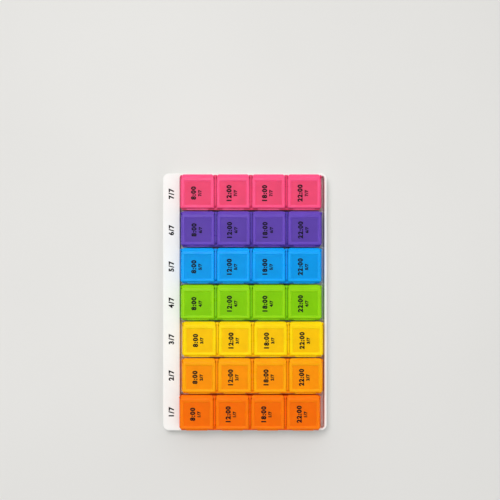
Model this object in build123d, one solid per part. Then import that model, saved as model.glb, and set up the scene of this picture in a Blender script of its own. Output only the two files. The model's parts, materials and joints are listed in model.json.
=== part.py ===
from build123d import *
import math
import os

# A weekly pill dispenser. Seven day boxes stand in rows in a white tray and lift straight out.
# Each box has four compartments in line, and each compartment has a lid of its own,
# which turns on two moulded pins that snap into ears on the box.
# Frame: millimetres, +X along a box from morning to bedtime, +Y from Sunday to Saturday, +Z up.
# The origin is on the table, under the middle of the tray.

DAYS = ("sun", "mon", "tue", "wed", "thu", "fri", "sat")
DOSES = ("morn", "noon", "eve", "bed")

# Day box
compartment_width = 26.7
compartment_depth = 24.6
compartment_height = 17.0
box_wall = 1.4
end_wall = 1.1
divider = 2.4
box_floor = 1.4
box_corner_radius = 1.5
box_end_radius = 2.0
scoop_radius = 5.6
draft_angle = 1.0
lip_reach = 1.3
lip_edge = 0.8
rib_setback = 1.0
rib_nose_radius = 1.6

# Hinge
knuckle_radius = 1.7
knuckle_overhang = 0.5
knuckle_clearance = 0.3
axis_height = 1.1
ear_radius = 1.4
pin_radius = 0.7
pin_clearance = 0.08
pin_engagement = 0.8
side_clearance = 0.25

# Lid
lid_height = 3.8
lid_plate = 1.4
lid_seat = 0.3
seat_clearance = 0.1
bevel_depth = 3.2
front_edge_radius = 1.2
side_edge_radius = 1.4
front_corner_radius = 1.2
knuckle_chamfer = 1.4
panel_side_border = 2.3
panel_front_border = 1.9
panel_back_border = 2.1
panel_recess = 0.55
panel_slope_angle = 45.0

# Sealing plug under the lid
plug_depth = 2.0
plug_wall = 1.2
plug_side_clearance = 0.35
plug_front_clearance = 0.6

# Thumb tab
tab_width = 18.0
tab_reach = 1.5
tab_thickness = 1.0
tab_corner_radius = 1.0

# Tray
tray_wall = 2.0
tray_floor = 1.6
tray_corner_radius = 5.0
rim_height = 13.0
rim_edge_radius = 0.5
ledge_width = 14.0
ledge_plate = 1.6
ledge_rib = 1.5
row_rib = 1.6
row_rib_height = 4.0
row_rib_crest_share = 0.7
rib_clearance = 0.6
end_play = 2.0

# How far each box has slid along its bay, as a share of the end play
slide_shares = {
    "sun": -0.90,
    "mon": 0.05,
    "tue": 0.25,
    "wed": -0.40,
    "thu": -0.45,
    "fri": -0.35,
    "sat": -0.55,
}

# Every cut runs this far past the face that it opens
overrun = 1.0

# Sizes that follow
lid_pitch = compartment_width + divider
box_length = len(DOSES) * compartment_width + (len(DOSES) - 1) * divider + 2 * end_wall
box_depth = compartment_depth + 2 * box_wall
box_height = compartment_height + box_floor
row_gap = row_rib + 2 * rib_clearance
row_pitch = box_depth + row_gap

bay_width = box_length + 2 * end_play
bay_length = len(DAYS) * box_depth + (len(DAYS) - 1) * row_gap + 2 * rib_clearance
tray_width = ledge_width + bay_width + tray_wall
tray_length = bay_length + 2 * tray_wall
bay_x = -tray_width / 2 + ledge_width + bay_width / 2
box_rim_z = tray_floor + box_height

# The hinge axis, seen from the middle of the box at its rim
hinge_y = box_depth / 2 + knuckle_overhang - knuckle_radius
hinge_z = axis_height
ear_top = axis_height + ear_radius
socket_radius = pin_radius + pin_clearance

# The lid, seen from its hinge axis, with its front towards -Y
lid_width = compartment_width + 2 * lid_seat
lid_front = -hinge_y - box_depth / 2
lid_underside = seat_clearance - axis_height
lid_crown = lid_underside + lid_height
knuckle_width = compartment_width - 2 * side_clearance
divider_rib_width = lid_pitch - lid_width - 2 * side_clearance
shoulder_y = -ear_radius - side_clearance
plug_half = compartment_width / 2 - plug_side_clearance
plug_front = lid_front + box_wall + plug_front_clearance
plug_back = -plug_wall


def row_y(row):
    """Middle of a row, counted from Sunday."""
    return (row - (len(DAYS) - 1) / 2) * row_pitch


def compartment_x(place):
    """Middle of a compartment along its box, counted from morning."""
    return (place - (len(DOSES) - 1) / 2) * lid_pitch


def box_x(day):
    """Where a box lies along its bay."""
    return bay_x + slide_shares[day] * end_play


def span_box(x_range, y_range, z_range):
    """A block between two limits on each axis."""
    size = [high - low for low, high in (x_range, y_range, z_range)]
    middle = [(high + low) / 2 for low, high in (x_range, y_range, z_range)]
    return Pos(*middle) * Box(*size)


def tub_section(span, height, radius):
    """A drafted section with its rim on the sketch's X axis and its two lower corners rounded."""
    lean = height * math.tan(math.radians(draft_angle))
    rim, foot = span / 2, span / 2 - lean
    corners = [(-rim, 0), (-foot, -height), (foot, -height), (rim, 0)]
    section = make_face(Polyline(*corners, close=True))
    return fillet(section.vertices().group_by(Axis.Y)[0], radius)


def compartment():
    """The hollow of one compartment, with its floor scooped up to the front and the back."""
    section = Plane.YZ * tub_section(compartment_depth, compartment_height, scoop_radius)
    mouth = extrude(section, compartment_width / 2, both=True)
    lip = span_box(
        (-compartment_width / 2, compartment_width / 2),
        (-compartment_depth / 2, compartment_depth / 2),
        (0, overrun),
    )
    return mouth + lip


def hinge_ear(thickness):
    """A round-topped ear that stands on the rim and carries the hinge axis."""
    head = Pos(hinge_y, hinge_z) * Circle(ear_radius)
    stem = Pos(hinge_y, hinge_z / 2) * Rectangle(2 * ear_radius, hinge_z)
    return extrude(Plane.YZ * (head + stem), thickness / 2, both=True)


def hinge_rod(radius, length):
    """A round bar on the hinge axis of a box."""
    return Pos(0, hinge_y, hinge_z) * Rot(0, 90, 0) * Cylinder(radius, length)


def divider_rib():
    """A rib on top of a divider, level with the ears, that stands between two lids."""
    length = hinge_y + box_depth / 2 - rib_setback
    section = Pos(hinge_y, 0) * Rectangle(length, ear_top, align=(Align.MAX, Align.MIN))
    nose = section.vertices().group_by(Axis.Y)[-1].sort_by(Axis.X)[0]
    section = fillet(nose, rib_nose_radius)
    return extrude(Plane.YZ * section, divider_rib_width / 2, both=True)


def front_lip():
    """A lip along the front rim, under the thumb tabs, which tapers into the wall below."""
    root, tip = box_wall / 2 - box_depth / 2, -box_depth / 2 - lip_reach
    corners = [(root, 0), (tip, 0), (tip, -lip_edge), (root, tip - root - lip_edge)]
    section = make_face(Polyline(*corners, close=True))
    return extrude(Plane.YZ * section, box_length / 2 - box_corner_radius, both=True)


def day_box():
    """One moulded box of four compartments. Its rim is at z = 0, with the ears above it."""
    long_section = Plane.YZ * tub_section(box_depth, box_height, scoop_radius + box_floor)
    end_section = Plane.XZ * tub_section(box_length, box_height, box_end_radius)
    body = extrude(long_section, box_length / 2, both=True)
    body &= extrude(end_section, box_depth / 2, both=True)

    for side in (-1, 1):
        body += Pos(side * (box_length - end_wall) / 2, 0, 0) * hinge_ear(end_wall)
    partition = hinge_ear(divider) + divider_rib()
    for place in range(len(DOSES) - 1):
        body += Pos(compartment_x(place) + lid_pitch / 2, 0, 0) * partition

    outline = RectangleRounded(box_length, box_depth, box_corner_radius)
    body &= extrude(outline, box_height, both=True)
    body += front_lip()

    # The back wall is hollowed under each knuckle, so that the lid rolls just clear of it.
    trough = hinge_rod(knuckle_radius + knuckle_clearance, compartment_width)
    for place in range(len(DOSES)):
        body -= Pos(compartment_x(place), 0, 0) * (compartment() + trough)
    return body - hinge_rod(socket_radius, box_length + 2 * overrun)


def lid_side():
    """The lid from its side, with the hinge axis at the origin and the back to the right."""
    crest = (knuckle_radius - bevel_depth, lid_crown)
    meet_angle = math.atan2(crest[1], crest[0]) - math.acos(knuckle_radius / math.hypot(*crest))
    end_angle = -math.pi - math.asin(lid_underside / knuckle_radius)
    knuckle = CenterArc(
        (0, 0), knuckle_radius, math.degrees(meet_angle), math.degrees(end_angle - meet_angle)
    )
    edge_middle = (lid_front + front_edge_radius, lid_crown - front_edge_radius)
    front_edge = CenterArc(edge_middle, front_edge_radius, 90, 90)
    front_foot = (lid_front, lid_underside)
    outline = [
        front_edge,
        Line(front_edge @ 1, front_foot),
        Line(front_foot, knuckle @ 1),
        knuckle,
        Line(knuckle @ 0, crest),
        Line(crest, front_edge @ 0),
    ]
    return make_face(Curve() + outline)


def lid_plan():
    """The lid from above: a square cap that narrows at two shoulders to the knuckle."""
    notch = (lid_width - knuckle_width) / 2
    cap = Rectangle(lid_width, shoulder_y - lid_front, align=(Align.CENTER, Align.MIN))
    cap = Pos(0, lid_front) * cap
    cap = fillet(cap.vertices().group_by(Axis.Y)[0], front_corner_radius)
    cap = chamfer(cap.vertices().group_by(Axis.Y)[-1], notch)
    neck = Rectangle(knuckle_width, knuckle_radius - shoulder_y, align=(Align.CENTER, Align.MIN))
    neck = Pos(0, shoulder_y) * neck
    neck = chamfer(neck.vertices().group_by(Axis.Y)[-1], knuckle_chamfer)
    return cap + neck


def lid_face():
    """The lid from its front: a bar as high as the lid, with its top corners rounded."""
    floor = lid_underside - knuckle_radius
    bar = Rectangle(lid_width, lid_crown - floor, align=(Align.CENTER, Align.MIN))
    bar = Pos(0, floor) * bar
    return fillet(bar.vertices().group_by(Axis.Y)[-1], side_edge_radius)


def lid():
    """One lid with its knuckle, pins, plug and tab. The hinge axis is the X axis."""
    cap = extrude(Plane.YZ * lid_side(), lid_width / 2, both=True)
    cap &= extrude(lid_plan(), lid_height, both=True)
    cap &= extrude(Plane.XZ * lid_face(), box_depth + knuckle_overhang, both=True)

    # The plug hangs from the cap and fits the mouth of the compartment.
    plug_foot = lid_underside - plug_depth
    cap += span_box((-plug_half, plug_half), (plug_front, plug_back), (plug_foot, 0))
    hollow_half = plug_half - plug_wall
    cap -= span_box(
        (-hollow_half, hollow_half),
        (plug_front + plug_wall, plug_back - plug_wall),
        (plug_foot - overrun, lid_crown - lid_plate),
    )

    tab_root = plug_front - lid_front
    tab = Rectangle(tab_width, tab_reach + tab_root, align=(Align.CENTER, Align.MIN))
    tab = Pos(0, lid_front - tab_reach) * tab
    tab = fillet(tab.vertices().group_by(Axis.Y)[0], tab_corner_radius)
    cap += Pos(0, 0, lid_underside) * extrude(tab, tab_thickness)

    pin_span = knuckle_width + 2 * (side_clearance + pin_engagement)
    cap += Rot(0, 90, 0) * Cylinder(pin_radius, pin_span)

    # The top is a shallow sunk panel inside a raised border.
    panel_back = knuckle_radius - bevel_depth - panel_back_border
    panel_front = lid_front + panel_front_border
    panel = Rectangle(lid_width - 2 * panel_side_border, panel_back - panel_front)
    panel = Pos(0, (panel_back + panel_front) / 2, lid_crown) * panel
    return cap - extrude(panel, -panel_recess, taper=panel_slope_angle)


def row_rib_section():
    """A low drafted rib that keeps two neighbouring boxes apart."""
    foot, crest = row_rib / 2, row_rib / 2 * row_rib_crest_share
    corners = [(-foot, 0), (foot, 0), (crest, row_rib_height), (-crest, row_rib_height)]
    return make_face(Polyline(*corners, close=True))


def tray():
    """The tray: one bay for the seven boxes, and a broad ledge along its left side."""
    outline = RectangleRounded(tray_width, tray_length, tray_corner_radius)
    body = extrude(Pos(0, 0, rim_height) * outline, -rim_height, taper=draft_angle)
    bay = RectangleRounded(bay_width, bay_length, box_corner_radius + rib_clearance)
    bay = Pos(bay_x, 0, rim_height) * bay
    body -= extrude(bay, tray_floor - rim_height, taper=draft_angle)
    body = fillet(body.faces().sort_by(Axis.Z)[-1].edges(), rim_edge_radius)

    for row in range(len(DAYS) - 1):
        rib = extrude(Plane.YZ * row_rib_section(), bay_width / 2, both=True)
        body += Pos(bay_x, row_y(row) + row_pitch / 2, tray_floor) * rib

    # The ledge is hollow from below, with a rib between every two rows.
    pocket_radius = tray_corner_radius - tray_wall
    pocket = RectangleRounded(ledge_width - 2 * tray_wall, row_pitch - ledge_rib, pocket_radius)
    pocket = extrude(pocket, rim_height - ledge_plate)
    for row in range(len(DAYS)):
        body -= Pos((ledge_width - tray_width) / 2, row_y(row), 0) * pocket
    return body


def main():
    """Build every piece in its place and write one file for each."""
    os.makedirs("parts", exist_ok=True)
    export_step(tray(), "parts/tray.step")

    one_box, one_lid = day_box(), lid()
    for row, day in enumerate(DAYS):
        seat = Pos(box_x(day), row_y(row), box_rim_z)
        export_step(seat * one_box, f"parts/box_{day}.step")
        for place, dose in enumerate(DOSES):
            axis = Pos(compartment_x(place), hinge_y, hinge_z)
            export_step(seat * axis * one_lid, f"parts/lid_{day}_{dose}.step")


main()
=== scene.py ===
"""A weekly pill dispenser on a pale table, seen from straight above.

Seven coloured boxes stand in a white tray, and each box has four snap-hinged lids. Every moulding
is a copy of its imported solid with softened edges, which then gets its plastic and its print.
Sizes are in metres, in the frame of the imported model: +X runs along a box, +Y runs from the first
day to the last, and the table is at z = 0.
"""

import json
import logging
import math
from dataclasses import dataclass
from enum import Enum
from typing import Any

import bmesh
import bpy
from bpy.types import Material, Mesh, Node, NodeSocket, NodeTree, Object
from mathutils import Matrix, Vector
from mathutils.bvhtree import BVHTree

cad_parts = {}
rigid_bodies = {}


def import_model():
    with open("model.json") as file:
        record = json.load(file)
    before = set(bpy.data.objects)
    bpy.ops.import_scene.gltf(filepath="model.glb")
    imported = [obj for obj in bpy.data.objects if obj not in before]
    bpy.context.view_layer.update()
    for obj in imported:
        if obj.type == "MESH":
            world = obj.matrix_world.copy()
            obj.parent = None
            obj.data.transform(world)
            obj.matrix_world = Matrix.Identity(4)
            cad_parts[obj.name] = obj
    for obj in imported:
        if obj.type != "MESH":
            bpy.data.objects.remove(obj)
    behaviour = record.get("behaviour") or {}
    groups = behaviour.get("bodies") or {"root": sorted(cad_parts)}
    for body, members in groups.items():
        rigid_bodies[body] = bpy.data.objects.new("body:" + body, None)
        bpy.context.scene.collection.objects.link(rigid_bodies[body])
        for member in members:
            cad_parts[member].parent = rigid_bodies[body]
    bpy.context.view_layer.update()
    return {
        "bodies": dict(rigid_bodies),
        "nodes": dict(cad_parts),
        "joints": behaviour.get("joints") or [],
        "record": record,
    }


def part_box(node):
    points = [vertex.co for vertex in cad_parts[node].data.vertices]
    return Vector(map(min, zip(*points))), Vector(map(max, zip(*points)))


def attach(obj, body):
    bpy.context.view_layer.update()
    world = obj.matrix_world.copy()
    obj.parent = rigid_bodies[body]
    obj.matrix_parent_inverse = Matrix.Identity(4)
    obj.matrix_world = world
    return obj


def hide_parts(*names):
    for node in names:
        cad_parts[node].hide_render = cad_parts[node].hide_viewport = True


log = logging.getLogger("pill_dispenser")

Colour = tuple[int, int, int]

CHANNEL_TOP = 255
SCREEN_KNEE = 0.04045
SCREEN_SLOPE = 12.92
SCREEN_OFFSET = 0.055
SCREEN_POWER = 2.4


class Day(Enum):
    """The seven boxes, each with its place in the week."""

    SUN = 1
    MON = 2
    TUE = 3
    WED = 4
    THU = 5
    FRI = 6
    SAT = 7

    @property
    def box(self) -> str:
        """Name of the box's node, which is also its body's."""
        return f"box_{self.name.lower()}"

    @property
    def mark(self) -> str:
        """The printed number of the day in the week."""
        return f"{self.value}/{len(Day)}"


class Dose(Enum):
    """The four lids of a box, each with the hour that is printed on it."""

    MORN = "8:00"
    NOON = "12:00"
    EVE = "18:00"
    BED = "22:00"

    def lid(self, day: Day) -> str:
        """Name of the lid's node on a day's box, which is also its body's."""
        return f"lid_{day.name.lower()}_{self.name.lower()}"


def linear(colour: Colour) -> tuple[float, float, float, float]:
    """Turn a screen colour into the linear one that a shader takes.

    Args:
        colour: Red, green and blue, each from 0 to 255.

    Returns:
        The linear colour with full alpha.
    """
    shares = [channel / CHANNEL_TOP for channel in colour]
    red, green, blue = [
        share / SCREEN_SLOPE
        if share <= SCREEN_KNEE
        else ((share + SCREEN_OFFSET) / (1 + SCREEN_OFFSET)) ** SCREEN_POWER
        for share in shares
    ]
    return red, green, blue, 1.0


class Shader:
    """A material's node tree, with the few nodes that the finishes are made of."""

    # Numbers of a mix node's colour sockets, because several of its sockets share a name.
    first_colour = 6
    second_colour = 7
    mixed_colour = 2

    def __init__(self, name: str) -> None:
        """Start a material of that name with its plain shader."""
        self.material: Material = bpy.data.materials.new(name)
        self.material.use_nodes = True
        self.tree = self.material.node_tree
        self.surface: Node = self.tree.nodes["Principled BSDF"]
        self.place: NodeSocket = self.tree.nodes.new("ShaderNodeTexCoord").outputs["Object"]

    def join(self, target: NodeSocket, value: Any) -> None:
        """Link a socket to another one, or set it to a constant."""
        if isinstance(value, NodeSocket):
            self.tree.links.new(value, target)
        else:
            target.default_value = value

    def set(self, **values: Any) -> None:
        """Set or link sockets of the surface, with underscores for the spaces in their names."""
        for name, value in values.items():
            self.join(self.surface.inputs[name.replace("_", " ")], value)

    def noise(self, size: float, detail: int, stretch: Vector = Vector((1, 1, 1))) -> NodeSocket:
        """Make cloudy noise over the piece.

        Args:
            size: Length of one cloud in metres.
            detail: How many finer layers it has.
            stretch: How much closer together the clouds lie along each axis.

        Returns:
            The noise's value, around a half.
        """
        mapping = self.tree.nodes.new("ShaderNodeMapping")
        self.join(mapping.inputs["Vector"], self.place)
        mapping.inputs["Scale"].default_value = stretch / size
        noise = self.tree.nodes.new("ShaderNodeTexNoise")
        self.join(noise.inputs["Vector"], mapping.outputs["Vector"])
        noise.inputs["Scale"].default_value = 1.0
        noise.inputs["Detail"].default_value = detail
        return noise.outputs["Fac"]

    def span(self, value: NodeSocket, low: float, high: float, reach: float = 0.25) -> NodeSocket:
        """Spread a noise over a range.

        Args:
            value: The noise, around a half.
            low: What its lower end becomes.
            high: What its upper end becomes.
            reach: How far from a half the noise is taken to go.

        Returns:
            The value between low and high.
        """
        spread = self.tree.nodes.new("ShaderNodeMapRange")
        self.join(spread.inputs["Value"], value)
        ends = {"From Min": 0.5 - reach, "From Max": 0.5 + reach, "To Min": low, "To Max": high}
        for name, number in ends.items():
            spread.inputs[name].default_value = number
        return spread.outputs["Result"]

    def tint(self, share: NodeSocket, first: Colour, second: Colour) -> NodeSocket:
        """Mix two colours by a share from 0 to 1."""
        mix = self.tree.nodes.new("ShaderNodeMix")
        mix.data_type = "RGBA"
        self.join(mix.inputs["Factor"], share)
        mix.inputs[self.first_colour].default_value = linear(first)
        mix.inputs[self.second_colour].default_value = linear(second)
        return mix.outputs[self.mixed_colour]

    def relief(self, height: NodeSocket, depth: float, below: NodeSocket | None = None) -> NodeSocket:
        """Make a bumpy normal.

        Args:
            height: The noise that gives the bumps.
            depth: Their depth in metres.
            below: A coarser relief that this one lies on.

        Returns:
            The normal.
        """
        bump = self.tree.nodes.new("ShaderNodeBump")
        bump.inputs["Strength"].default_value = 1.0
        bump.inputs["Distance"].default_value = depth
        self.join(bump.inputs["Height"], height)
        if below is not None:
            self.join(bump.inputs["Normal"], below)
        return bump.outputs["Normal"]


@dataclass(frozen=True)
class MouldedFinish:
    """Moulded plastic with a fine skin, flow marks and some light through it."""

    name: str
    colour: Colour
    cloud_share: float = 0.955
    smooth: float = 0.24
    dull: float = 0.36
    gloss: float = 0.08
    glow: float = 0.7
    glow_reach: float = 0.0018
    glow_spread: tuple[float, float, float] = (1.0, 1.0, 1.0)
    cloud_size: float = 0.011
    cloud_detail: int = 3
    flow_size: float = 0.004
    flow_detail: int = 2
    flow_stretch: Vector = Vector((0.35, 1, 1))
    flow_depth: float = 0.00001
    grain_size: float = 0.00035
    grain_detail: int = 2
    grain_depth: float = 0.000002

    def material(self) -> Material:
        """Make the material of this finish."""
        shader = Shader(self.name)
        red, green, blue = [round(channel * self.cloud_share) for channel in self.colour]
        clouds = shader.noise(self.cloud_size, self.cloud_detail)
        flow = shader.noise(self.flow_size, self.flow_detail, self.flow_stretch)
        grain = shader.noise(self.grain_size, self.grain_detail)
        flowed = shader.relief(flow, self.flow_depth)
        shader.set(
            Base_Color=shader.tint(shader.span(clouds, 0, 1), self.colour, (red, green, blue)),
            Roughness=shader.span(flow, self.smooth, self.dull),
            Normal=shader.relief(grain, self.grain_depth, flowed),
            Specular_IOR_Level=self.gloss,
            Subsurface_Weight=self.glow,
            Subsurface_Radius=self.glow_spread,
            Subsurface_Scale=self.glow_reach,
        )
        return shader.material


@dataclass(frozen=True)
class ShadedPanelFinish(MouldedFinish):
    """The duller, grainier skin of a lid's sunk panel, whose darker colour is painted shade."""

    smooth: float = 0.36
    dull: float = 0.5
    gloss: float = 0.05
    glow: float = 0.45
    grain_depth: float = 0.000006


@dataclass(frozen=True)
class WallFinish(MouldedFinish):
    """The plastic of a box's walls, which lets less light through."""

    glow: float = 0.3


@dataclass(frozen=True)
class TrayFinish(MouldedFinish):
    """The plain white plastic of the tray."""

    name: str = "tray_white"
    colour: Colour = (241, 241, 238)
    cloud_share: float = 0.985
    smooth: float = 0.34
    dull: float = 0.46
    gloss: float = 0.05
    glow: float = 0.25
    glow_reach: float = 0.001


@dataclass(frozen=True)
class InkFinish:
    """Black printing ink, a little thinner in places."""

    name: str = "ink_black"
    colour: Colour = (7, 6, 8)
    thin_colour: Colour = (20, 18, 21)
    patch_size: float = 0.0012
    patch_detail: int = 3
    smooth: float = 0.42
    dull: float = 0.6
    gloss: float = 0.1

    def material(self) -> Material:
        """Make the material of this finish."""
        shader = Shader(self.name)
        patches = shader.noise(self.patch_size, self.patch_detail)
        shader.set(
            Base_Color=shader.tint(shader.span(patches, 0, 1), self.colour, self.thin_colour),
            Roughness=shader.span(patches, self.smooth, self.dull),
            Specular_IOR_Level=self.gloss,
        )
        return shader.material


@dataclass(frozen=True)
class TableFinish:
    """A pale, matt table top."""

    name: str = "table_pale"
    colour: Colour = (222, 221, 218)
    deep_colour: Colour = (217, 216, 213)
    cloud_size: float = 0.3
    cloud_detail: int = 3
    roughness: float = 0.7
    gloss: float = 0.2

    def material(self) -> Material:
        """Make the material of this finish."""
        shader = Shader(self.name)
        clouds = shader.noise(self.cloud_size, self.cloud_detail)
        shader.set(
            Base_Color=shader.tint(shader.span(clouds, 0, 1), self.colour, self.deep_colour),
            Roughness=self.roughness,
            Specular_IOR_Level=self.gloss,
        )
        return shader.material


@dataclass(frozen=True)
class DayColours:
    """The tones of a day's plastic: its lids, their sunk panels and the walls of its box. The panel tone is
    painted shade: the lid's plastic drawn darker where it lies thin over the hollow.
    """

    lid: Colour
    # painted shade: the lid's tone drawn darker for the sunk panel
    panel: Colour
    box: Colour


# Each panel tone is its lid's tone drawn darker as painted shade.
PALETTE: dict[Day, DayColours] = {
    Day.SUN: DayColours((252, 127, 7), (246, 111, 3), (246, 102, 3)),
    Day.MON: DayColours((255, 169, 7), (253, 148, 4), (252, 148, 4)),
    Day.TUE: DayColours((255, 216, 7), (252, 195, 4), (252, 200, 4)),
    Day.WED: DayColours((148, 214, 14), (131, 201, 3), (126, 203, 3)),
    Day.THU: DayColours((12, 166, 246), (1, 153, 230), (1, 146, 236)),
    Day.FRI: DayColours((107, 75, 186), (94, 67, 167), (82, 57, 167)),
    Day.SAT: DayColours((252, 88, 138), (236, 75, 115), (231, 61, 109)),
}


@dataclass
class Moulding:
    """A moulded piece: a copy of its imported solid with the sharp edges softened."""

    node: str
    slot: str
    edge_radius: float = 0.00018
    edge_steps: int = 2
    edge_profile: float = 0.5
    edge_room: float = 0.0005
    narrow_angle: float = math.radians(30)
    stray_share: float = 0.5
    weld: float = 0.000002
    flat_angle: float = math.radians(0.6)
    sharp_angle: float = math.radians(24)
    crease_angle: float = math.radians(40)

    def is_spared(self, edge: bmesh.types.BMEdge) -> bool:
        """Tell whether an edge stays sharp, because it belongs to a fit."""
        return False

    def has_room(self, edge: bmesh.types.BMEdge, sharp: set[bmesh.types.BMEdge]) -> bool:
        """Tell whether the softening of an edge has room at both of its ends.

        Args:
            edge: The edge.
            sharp: All the sharp edges of the form.

        Returns:
            False where another edge at an end is short or leaves at a narrow angle. A sharp edge that
            runs on from this one doesn't count, nor does an edge within a flat face.
        """
        for end in edge.verts:
            along = edge.other_vert(end).co - end.co
            for other in end.link_edges:
                across = other.other_vert(end).co - end.co
                angle = along.angle(across)
                runs_on = other in sharp and angle > math.pi - self.narrow_angle
                if other is edge or runs_on or other.calc_face_angle() < self.flat_angle:
                    continue
                if across.length < self.edge_room or angle < self.narrow_angle:
                    return False
        return True

    def settle(self, form: bmesh.types.BMesh, solid: BVHTree) -> None:
        """Bring corners that the softening threw off back to the solid.

        Args:
            form: The softened form.
            solid: The faces of the solid that it came from.
        """
        for vert in form.verts:
            nearest, _, _, gap = solid.find_nearest(vert.co)
            if gap > self.edge_radius * self.stray_share:
                vert.co = nearest

    def shape(self) -> Mesh:
        """Copy the solid, merge its triangles into whole faces and soften its edges.

        Returns:
            The finished mesh, in its place.
        """
        form = bmesh.new()
        form.from_mesh(bpy.data.objects[self.node].data)
        solid = BVHTree.FromBMesh(form)
        bmesh.ops.remove_doubles(form, verts=form.verts, dist=self.weld)
        bmesh.ops.dissolve_limit(
            form, angle_limit=self.flat_angle, verts=form.verts, edges=form.edges, delimit=set()
        )
        bmesh.ops.connect_verts_concave(form, faces=form.faces)
        sharp = {
            edge
            for edge in form.edges
            if edge.is_manifold
            and edge.calc_face_angle() > self.sharp_angle
            and not self.is_spared(edge)
        }
        bmesh.ops.bevel(
            form,
            geom=[edge for edge in form.edges if edge in sharp and self.has_room(edge, sharp)],
            offset=self.edge_radius,
            offset_type="OFFSET",
            segments=self.edge_steps,
            profile=self.edge_profile,
            affect="EDGES",
            clamp_overlap=False,
        )
        self.settle(form, solid)
        for face in form.faces:
            face.smooth = True
            face.material_index = 0
        mesh = bpy.data.meshes.new(f"{self.node}_moulding")
        form.to_mesh(mesh)
        form.free()
        mesh.set_sharp_from_angle(angle=self.crease_angle)
        return mesh

    def dress(self, mesh: Mesh, materials: list[Material]) -> Object:
        """Make the piece and let it stand for its solid.

        Args:
            mesh: The finished mesh, in its place.
            materials: Its materials, in the order of the faces' material numbers.

        Returns:
            The piece, riding on its body.
        """
        for material in materials:
            mesh.materials.append(material)
        piece = bpy.data.objects.new(f"{self.node}_moulding", mesh)
        bpy.context.scene.collection.objects.link(piece)
        evened = piece.modifiers.new("even_shading", "WEIGHTED_NORMAL")
        evened.keep_sharp = True
        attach(piece, self.node)
        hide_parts(self.node)
        return piece


@dataclass
class Lid(Moulding):
    """A lid with its knuckle, pins, plug, tab and sunk panel."""

    hinge: Vector = Vector((0, 0, 0))
    pin_zone: float = 0.00105
    panel_recess: float = 0.00055
    panel_tolerance: float = 0.00002
    level_share: float = 0.99

    def is_spared(self, edge: bmesh.types.BMEdge) -> bool:
        """Tell whether an edge lies on a hinge pin."""
        spokes = [(vert.co - self.hinge).yz.length for vert in edge.verts]
        return max(spokes) < self.pin_zone

    def mark_panel(self, mesh: Mesh) -> None:
        """Give the faces of the sunk panel the second material, whose darker colour is painted shade."""
        top = max(vert.co.z for vert in mesh.vertices) - self.panel_recess
        for face in mesh.polygons:
            if abs(face.center.z - top) < self.panel_tolerance and face.normal.z > self.level_share:
                face.material_index = 1

    def moved(self, mesh: Mesh, step: Vector) -> Mesh:
        """Copy the finished mesh of another lid to this one's place."""
        copy = mesh.copy()
        copy.name = f"{self.node}_moulding"
        copy.transform(Matrix.Translation(step))
        return copy


@dataclass
class DayBox(Moulding):
    """A box of four compartments, with the ears that carry its lids."""

    hinge: Vector = Vector((0, 0, 0))
    socket_zone: float = 0.00115

    def is_spared(self, edge: bmesh.types.BMEdge) -> bool:
        """Tell whether an edge lies on a hinge socket."""
        spokes = [(vert.co - self.hinge).yz.length for vert in edge.verts]
        return max(spokes) < self.socket_zone


@dataclass(frozen=True)
class Stamp:
    """One printed mark: its figures, their height and weight, and the middle of its place."""

    text: str
    height: float
    boldness_share: float
    middle: Vector


@dataclass(frozen=True)
class Printer:
    """Prints bold upright figures that read from the first day towards the last."""

    spacing_share: float = 1.22
    reading_turn: float = math.radians(90)
    film: float = 0.00002
    weld_share: float = 0.1

    def figures(self, stamp: Stamp) -> Mesh:
        """Make the mesh of one mark in its place."""
        curve = bpy.data.curves.new("figures", "FONT")
        curve.body = stamp.text
        curve.bevel_depth = stamp.boldness_share
        curve.bevel_resolution = 0
        curve.space_character = self.spacing_share
        holder = bpy.data.objects.new("figures", curve)
        mesh = bpy.data.meshes.new_from_object(holder)
        bpy.data.objects.remove(holder)
        bpy.data.curves.remove(curve)
        across = [vert.co.x for vert in mesh.vertices]
        upward = [vert.co.y for vert in mesh.vertices]
        centre = Vector(((min(across) + max(across)) / 2, (min(upward) + max(upward)) / 2, 0))
        turn = Matrix.Rotation(self.reading_turn, 4, "Z")
        size = stamp.height / (max(upward) - min(upward))
        scale = Matrix.Diagonal((size, size, self.film / stamp.boldness_share, 1))
        mesh.transform(Matrix.Translation(stamp.middle) @ turn @ scale @ Matrix.Translation(-centre))
        return mesh

    def lay(self, name: str, body: str, stamps: list[Stamp], ink: Material) -> Object:
        """Print marks on a body as one piece.

        Args:
            name: The piece's name.
            body: The body that carries it.
            stamps: The marks.
            ink: Their material.

        Returns:
            The piece.
        """
        form = bmesh.new()
        for stamp in stamps:
            figures = self.figures(stamp)
            form.from_mesh(figures)
            bpy.data.meshes.remove(figures)
        bmesh.ops.remove_doubles(form, verts=form.verts, dist=self.film * self.weld_share)
        mesh = bpy.data.meshes.new(name)
        form.to_mesh(mesh)
        form.free()
        mesh.materials.append(ink)
        piece = bpy.data.objects.new(name, mesh)
        bpy.context.scene.collection.objects.link(piece)
        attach(piece, body)
        return piece


@dataclass(frozen=True)
class LidPrint:
    """Where the hour and the day are printed on a lid, seen from the lid's hinge."""

    hour_height: float = 0.0042
    hour_boldness_share: float = 0.056
    hour_side: float = -0.0033
    day_height: float = 0.0028
    day_boldness_share: float = 0.066
    day_side: float = 0.0019
    forward: float = -0.01395
    panel_recess: float = Lid.panel_recess

    def stamps(self, day: Day, dose: Dose, hinge: Vector) -> list[Stamp]:
        """List the marks of one lid."""
        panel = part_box(dose.lid(day))[1].z - self.panel_recess
        hour = Vector((hinge.x + self.hour_side, hinge.y + self.forward, panel))
        mark = Vector((hinge.x + self.day_side, hinge.y + self.forward, panel))
        return [
            Stamp(dose.value, self.hour_height, self.hour_boldness_share, hour),
            Stamp(day.mark, self.day_height, self.day_boldness_share, mark),
        ]


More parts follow.
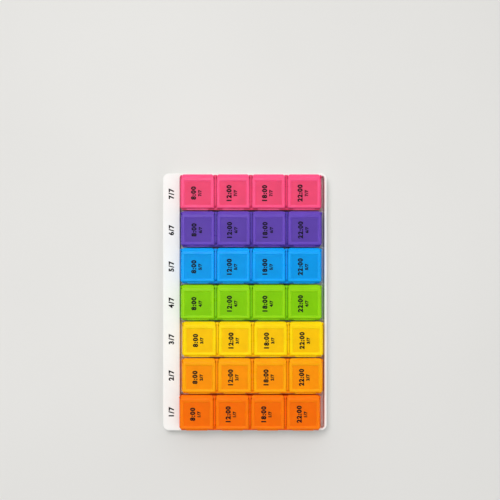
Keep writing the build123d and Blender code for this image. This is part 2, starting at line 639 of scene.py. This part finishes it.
@dataclass(frozen=True)
class LedgePrint:
    """Where the day is printed on the ledge of the tray."""

    height: float = 0.0046
    boldness_share: float = 0.05
    ledge_width: float = 0.014

    def stamp(self, day: Day) -> Stamp:
        """Give the mark beside one day's box."""
        low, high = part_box("tray")
        front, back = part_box(day.box)
        middle = Vector((low.x + self.ledge_width / 2, (front.y + back.y) / 2, high.z))
        return Stamp(day.mark, self.height, self.boldness_share, middle)


@dataclass(frozen=True)
class Lamp:
    """A square soft lamp that looks at the middle of the table."""

    name: str
    place: Vector
    width: float
    power: float

    def hang(self) -> Object:
        """Make the lamp and aim it."""
        light = bpy.data.lights.new(self.name, "AREA")
        light.shape = "SQUARE"
        light.size = self.width
        light.energy = self.power
        lamp = bpy.data.objects.new(self.name, light)
        lamp.location = self.place
        lamp.rotation_euler = (-self.place).to_track_quat("-Z", "Y").to_euler()
        bpy.context.scene.collection.objects.link(lamp)
        return lamp


@dataclass(frozen=True)
class Studio:
    """The table, the lamps, the room light and the camera."""

    view_height: float = 0.713
    view_width: float = 0.4157
    view_plane: float = 0.013
    sensor: float = 36.0
    shift_right: float = 0.0103
    shift_up: float = 0.1038
    table_width: float = 6.0
    table_drop: float = 0.0002
    light_bounces: int = 20
    room_above: float = 0.62
    room_around: float = 0.2
    room_behind: float = 0.77
    behind_from: float = 0.2
    backdrop: float = 0.5
    key_lamp: Lamp = Lamp("key_lamp", place=Vector((-0.2, 0.3, 1.2)), width=0.5, power=7.3)
    fill_lamp: Lamp = Lamp("fill_lamp", place=Vector((0.6, -0.8, 0.9)), width=0.9, power=2.0)

    def lay_table(self) -> Object:
        """Make the table top, which isn't part of the object."""
        form = bmesh.new()
        bmesh.ops.create_grid(form, x_segments=1, y_segments=1, size=self.table_width / 2)
        bmesh.ops.translate(form, verts=form.verts, vec=Vector((0, 0, -self.table_drop)))
        mesh = bpy.data.meshes.new("table")
        form.to_mesh(mesh)
        form.free()
        mesh.materials.append(TableFinish().material())
        table = bpy.data.objects.new("table", mesh)
        bpy.context.scene.collection.objects.link(table)
        return table

    @staticmethod
    def fade(tree: NodeTree, part: NodeSocket, start: float, low: float, high: float) -> NodeSocket:
        """Fade the room's light along one part of the direction.

        Args:
            tree: The node tree of the room.
            part: That part of the direction, up to 1.
            start: Where the fade begins.
            low: The light there and before.
            high: The light at 1.

        Returns:
            The light in each direction.
        """
        spread = tree.nodes.new("ShaderNodeMapRange")
        tree.links.new(part, spread.inputs["Value"])
        for name, number in {"From Min": start, "To Min": low, "To Max": high}.items():
            spread.inputs[name].default_value = number
        return spread.outputs["Result"]

    @staticmethod
    def plain_rays(tree: NodeTree) -> NodeSocket:
        """Pick the rays that see the backdrop: the camera's own, and those in reflections and through glass.

        Args:
            tree: The node tree of the room.

        Returns:
            1 for such a ray, and 0 for one that lights the object.
        """
        rays = tree.nodes.new("ShaderNodeLightPath")
        picked = rays.outputs["Is Camera Ray"]
        for name in ("Is Glossy Ray", "Is Transmission Ray"):
            either = tree.nodes.new("ShaderNodeMath")
            either.operation = "MAXIMUM"
            tree.links.new(picked, either.inputs[0])
            tree.links.new(rays.outputs[name], either.inputs[1])
            picked = either.outputs["Value"]
        return picked

    def light_room(self) -> None:
        """Fill the room with soft light that is brightest straight above and behind."""
        world = bpy.data.worlds.new("room")
        bpy.context.scene.world = world
        world.use_nodes = True
        tree = world.node_tree
        split = tree.nodes.new("ShaderNodeSeparateXYZ")
        tree.links.new(tree.nodes.new("ShaderNodeTexCoord").outputs["Generated"], split.inputs["Vector"])
        both = tree.nodes.new("ShaderNodeMath")
        both.operation = "ADD"
        above = self.fade(tree, split.outputs["Z"], 0.0, self.room_around, self.room_above)
        behind = self.fade(tree, split.outputs["Y"], self.behind_from, 0.0, self.room_behind)
        tree.links.new(above, both.inputs[0])
        tree.links.new(behind, both.inputs[1])
        seen = tree.nodes.new("ShaderNodeMix")
        tree.links.new(self.plain_rays(tree), seen.inputs["Factor"])
        tree.links.new(both.outputs["Value"], seen.inputs["A"])
        seen.inputs["B"].default_value = self.backdrop
        background = tree.nodes["Background"]
        background.inputs["Color"].default_value = (1.0, 1.0, 1.0, 1.0)
        tree.links.new(seen.outputs["Result"], background.inputs["Strength"])

    def hang_lamps(self) -> None:
        """Hang the key lamp high at the back left, and a weak one across from it."""
        self.key_lamp.hang()
        self.fill_lamp.hang()

    def set_camera(self) -> Object:
        """Hang the camera straight above the tray, shifted to the photograph's framing."""
        data = bpy.data.cameras.new("camera")
        data.sensor_width = self.sensor
        data.lens = self.sensor * (self.view_height - self.view_plane) / self.view_width
        data.shift_x = self.shift_right
        data.shift_y = self.shift_up
        camera = bpy.data.objects.new("camera", data)
        camera.location = (0, 0, self.view_height)
        bpy.context.scene.collection.objects.link(camera)
        bpy.context.scene.camera = camera
        return camera

    def build(self) -> None:
        """Set up everything round the object."""
        bpy.context.scene.view_settings.view_transform = "Standard"
        bpy.context.scene.cycles.max_bounces = self.light_bounces
        bpy.context.scene.cycles.diffuse_bounces = self.light_bounces
        self.lay_table()
        self.light_room()
        self.hang_lamps()
        self.set_camera()


@dataclass
class Dispenser:
    """The whole object: the tray, its boxes and their lids."""

    frame: dict[str, Any]
    printer: Printer = Printer()
    lid_print: LidPrint = LidPrint()
    ledge_print: LedgePrint = LedgePrint()

    def slot_of(self, node: str) -> str:
        """Look up the record's material slot of a node."""
        rows = self.frame["record"]["subparts"]
        return next(row["material_slot"] for row in rows if row["node"] == node)

    def hinge_of(self, lid: str) -> Vector:
        """Look up the middle of a lid's hinge axis."""
        return Vector(next(j["pos_m"] for j in self.frame["joints"] if j["child"] == lid))

    def build_tray(self, ink: Material) -> None:
        """Make the tray and the print on its ledge."""
        tray = Moulding("tray", self.slot_of("tray"))
        tray.dress(tray.shape(), [TrayFinish().material()])
        log.info("tray dressed")
        for day in Day:
            stamp = self.ledge_print.stamp(day)
            self.printer.lay(f"print_ledge_{day.name.lower()}", "tray", [stamp], ink)

    def build_day(self, day: Day, pattern: Mesh | None, origin: Vector, ink: Material) -> Mesh:
        """Make a day's box with its lids and their print.

        Args:
            day: The day.
            pattern: The finished mesh of the first lid, or None if this makes it.
            origin: The hinge of that first lid.
            ink: The material of the print.

        Returns:
            The finished mesh of the first lid.
        """
        tones = PALETTE[day]
        name = day.name.lower()
        # The panel material gets the darker panel tone, which is painted shade.
        skins = [MouldedFinish(f"lid_{name}", tones.lid), ShadedPanelFinish(f"panel_{name}", tones.panel)]
        materials = [skin.material() for skin in skins]
        slot = self.slot_of(day.box)
        box = DayBox(day.box, slot, hinge=self.hinge_of(Dose.MORN.lid(day)))
        box.dress(box.shape(), [WallFinish(f"box_{name}", tones.box).material()])
        for dose in Dose:
            node = dose.lid(day)
            lid = Lid(node, slot, hinge=self.hinge_of(node))
            if pattern is None:
                pattern = lid.shape()
                lid.mark_panel(pattern)
            lid.dress(lid.moved(pattern, lid.hinge - origin), materials)
            stamps = self.lid_print.stamps(day, dose, lid.hinge)
            self.printer.lay(f"print_{node}", node, stamps, ink)
        log.info("%s and its lids dressed", day.box)
        return pattern

    def build(self) -> None:
        """Make every piece of the object."""
        ink = InkFinish().material()
        self.build_tray(ink)
        origin = self.hinge_of(Dose.MORN.lid(Day.SUN))
        pattern: Mesh | None = None
        for day in Day:
            pattern = self.build_day(day, pattern, origin, ink)
        bpy.data.meshes.remove(pattern)


def main() -> None:
    """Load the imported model, dress it and set up the studio."""
    logging.basicConfig(level=logging.INFO, format="%(name)s: %(message)s")
    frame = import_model()
    Dispenser(frame).build()
    Studio().build()


if __name__ == "__main__":
    main()
